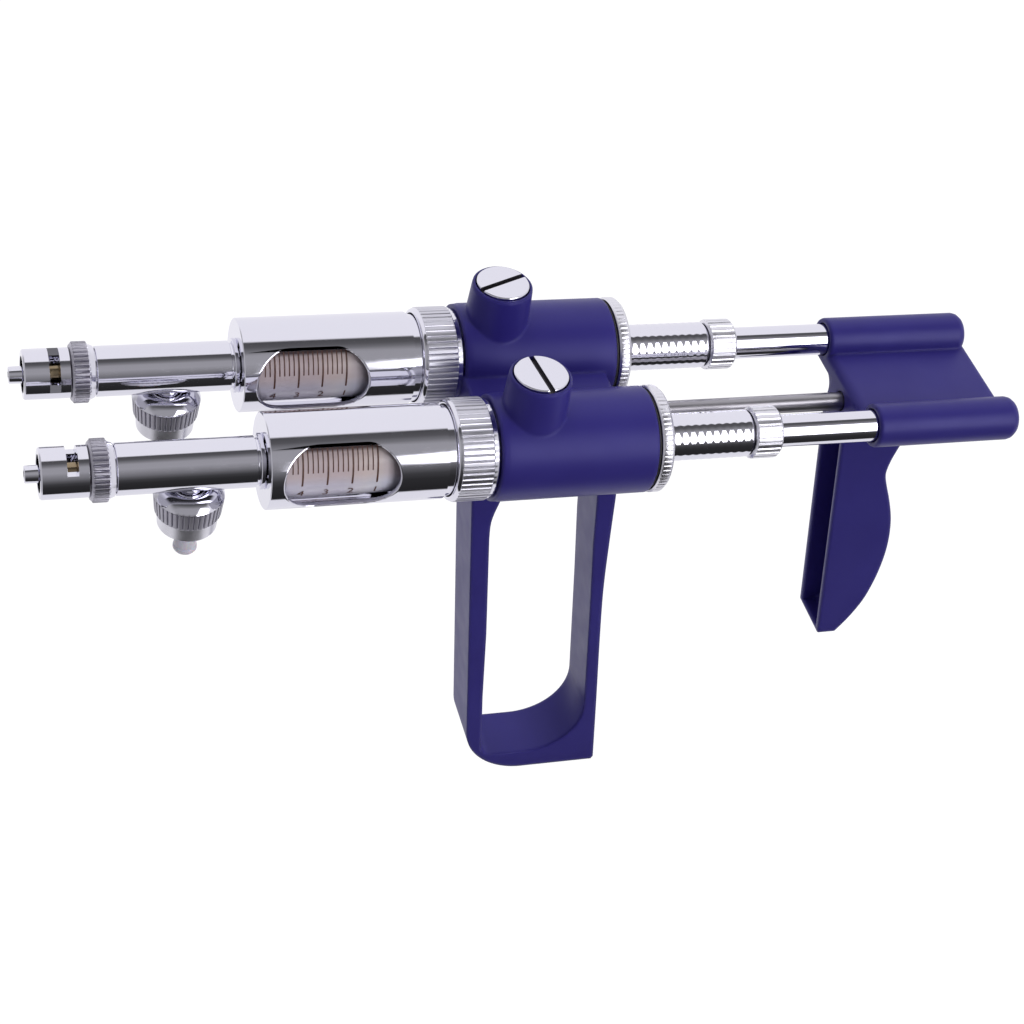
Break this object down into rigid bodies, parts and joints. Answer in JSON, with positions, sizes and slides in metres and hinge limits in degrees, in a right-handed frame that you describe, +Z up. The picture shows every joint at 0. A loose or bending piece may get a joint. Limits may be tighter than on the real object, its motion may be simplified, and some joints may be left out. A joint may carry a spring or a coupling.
{
  "type": "double automatic syringe",
  "caption": "Hand-held repeating syringe for livestock with glass barrels, a finger loop, a palm grip and dose adjusters that slide and turn on real joints.",
  "frame": {"origin": "centre of the bridge's flat front face, midway between the two syringes and on the height of their axes", "axes": "+X along the syringes to the rear, away from the needles; +Y to the right syringe; +Z up, away from the finger loop"},
  "size_m": [0.2459, 0.0598, 0.1537],
  "materials": {
    "blue_plastic": "satin dark blue moulded plastic",
    "chrome": "bright plated, smooth",
    "knurled_chrome": "bright plated, straight knurl",
    "steel": "dull ground",
    "black_rubber": "matt",
    "grey_rubber": "matt",
    "glass": "clear",
    "white_plastic": "white moulded plastic"
  },
  "bodies": {
    "frame": {"body_casting": "blue_plastic", "return_spring": "steel", "left_barrel_sleeve": "chrome", "left_glass_barrel": "glass", "left_front_gasket": "black_rubber", "left_glass_bush": "white_plastic", "left_front_tube": "chrome", "left_needle_sleeve": "chrome", "left_luer_core": "chrome", "left_feed_nipple": "white_plastic", "left_rear_washer": "black_rubber", "left_outlet_spring": "steel", "left_inlet_spring": "steel", "right_barrel_sleeve": "chrome", "right_glass_barrel": "glass", "right_front_gasket": "black_rubber", "right_glass_bush": "white_plastic", "right_front_tube": "chrome", "right_needle_sleeve": "chrome", "right_luer_core": "chrome", "right_feed_nipple": "white_plastic", "right_rear_washer": "black_rubber", "right_outlet_spring": "steel", "right_inlet_spring": "steel"},
    "plunger": {"rear_handle": "blue_plastic", "guide_rod": "steel", "left_piston_rod": "chrome", "left_piston": "white_plastic", "left_piston_seal": "grey_rubber", "right_piston_rod": "chrome", "right_piston": "white_plastic", "right_piston_seal": "grey_rubber"},
    "left_dose_stop": {"left_stop_washer": "white_plastic"},
    "left_dose_screw": {"left_dose_screw": "chrome", "left_dose_knob": "knurled_chrome"},
    "left_lock_ring": {"left_lock_ring": "knurled_chrome"},
    "left_barrel_nut": {"left_barrel_nut": "knurled_chrome"},
    "left_needle_nut": {"left_needle_nut": "knurled_chrome"},
    "left_inlet_nut": {"left_inlet_nut": "knurled_chrome"},
    "left_boss_screw": {"left_boss_screw": "chrome"},
    "left_outlet_valve": {"left_outlet_ball": "steel"},
    "left_inlet_valve": {"left_inlet_ball": "steel"},
    "right_dose_stop": {"right_stop_washer": "white_plastic"},
    "right_dose_screw": {"right_dose_screw": "chrome", "right_dose_knob": "knurled_chrome"},
    "right_lock_ring": {"right_lock_ring": "knurled_chrome"},
    "right_barrel_nut": {"right_barrel_nut": "knurled_chrome"},
    "right_needle_nut": {"right_needle_nut": "knurled_chrome"},
    "right_inlet_nut": {"right_inlet_nut": "knurled_chrome"},
    "right_boss_screw": {"right_boss_screw": "chrome"},
    "right_outlet_valve": {"right_outlet_ball": "steel"},
    "right_inlet_valve": {"right_inlet_ball": "steel"}
  },
  "joints": [
    {"name": "plunger_slide", "type": "slide", "parent": "frame", "child": "plunger", "axis": [-1, 0, 0], "range_m": [0, 0.022], "stiffness_N_per_m": 400, "springref_m": -0.02, "deforming": ["return_spring"]},
    {"name": "left_dose_travel", "type": "slide", "parent": "frame", "child": "left_dose_stop", "axis": [1, 0, 0], "range_m": [0, 0.004]},
    {"name": "left_dose_turn", "type": "hinge", "parent": "left_dose_stop", "child": "left_dose_screw", "pos_m": [0, -0.017, 0], "axis": [1, 0, 0], "range_deg": [0, 720]},
    {"name": "left_lock_ring_turn", "type": "hinge", "parent": "frame", "child": "left_lock_ring", "pos_m": [0, -0.017, 0], "axis": [1, 0, 0], "range_deg": [0, 360]},
    {"name": "left_barrel_nut_turn", "type": "hinge", "parent": "frame", "child": "left_barrel_nut", "pos_m": [0, -0.017, 0], "axis": [1, 0, 0], "range_deg": [0, 360]},
    {"name": "left_needle_nut_turn", "type": "hinge", "parent": "frame", "child": "left_needle_nut", "pos_m": [0, -0.017, 0], "axis": [1, 0, 0], "range_deg": [0, 360]},
    {"name": "left_inlet_nut_turn", "type": "hinge", "parent": "frame", "child": "left_inlet_nut", "pos_m": [-0.069, -0.017, 0], "axis": [0, 0, 1], "range_deg": [0, 360]},
    {"name": "left_boss_screw_turn", "type": "hinge", "parent": "frame", "child": "left_boss_screw", "pos_m": [0.01, -0.017, 0], "axis": [0, 0, 1], "range_deg": [0, 360]},
    {"name": "left_outlet_valve_lift", "type": "slide", "parent": "frame", "child": "left_outlet_valve", "axis": [-1, 0, 0], "range_m": [0, 0.001], "stiffness_N_per_m": 50, "springref_m": -0.001, "deforming": ["left_outlet_spring"]},
    {"name": "left_inlet_valve_lift", "type": "slide", "parent": "frame", "child": "left_inlet_valve", "axis": [0, 0, 1], "range_m": [0, 0.001], "stiffness_N_per_m": 50, "springref_m": -0.001, "deforming": ["left_inlet_spring"]},
    {"name": "right_dose_travel", "type": "slide", "parent": "frame", "child": "right_dose_stop", "axis": [1, 0, 0], "range_m": [0, 0.004]},
    {"name": "right_dose_turn", "type": "hinge", "parent": "right_dose_stop", "child": "right_dose_screw", "pos_m": [0, 0.017, 0], "axis": [1, 0, 0], "range_deg": [0, 720]},
    {"name": "right_lock_ring_turn", "type": "hinge", "parent": "frame", "child": "right_lock_ring", "pos_m": [0, 0.017, 0], "axis": [1, 0, 0], "range_deg": [0, 360]},
    {"name": "right_barrel_nut_turn", "type": "hinge", "parent": "frame", "child": "right_barrel_nut", "pos_m": [0, 0.017, 0], "axis": [1, 0, 0], "range_deg": [0, 360]},
    {"name": "right_needle_nut_turn", "type": "hinge", "parent": "frame", "child": "right_needle_nut", "pos_m": [0, 0.017, 0], "axis": [1, 0, 0], "range_deg": [0, 360]},
    {"name": "right_inlet_nut_turn", "type": "hinge", "parent": "frame", "child": "right_inlet_nut", "pos_m": [-0.069, 0.017, 0], "axis": [0, 0, 1], "range_deg": [0, 360]},
    {"name": "right_boss_screw_turn", "type": "hinge", "parent": "frame", "child": "right_boss_screw", "pos_m": [0.01, 0.017, 0], "axis": [0, 0, 1], "range_deg": [0, 360]},
    {"name": "right_outlet_valve_lift", "type": "slide", "parent": "frame", "child": "right_outlet_valve", "axis": [-1, 0, 0], "range_m": [0, 0.001], "stiffness_N_per_m": 50, "springref_m": -0.001, "deforming": ["right_outlet_spring"]},
    {"name": "right_inlet_valve_lift", "type": "slide", "parent": "frame", "child": "right_inlet_valve", "axis": [0, 0, 1], "range_m": [0, 0.001], "stiffness_N_per_m": 50, "springref_m": -0.001, "deforming": ["right_inlet_spring"]}
  ],
  "couplings": [
    {"joint": "left_dose_turn", "follows": "left_dose_travel", "rad_per_m": 3141.6},
    {"joint": "right_dose_turn", "follows": "right_dose_travel", "rad_per_m": 3141.6}
  ]
}
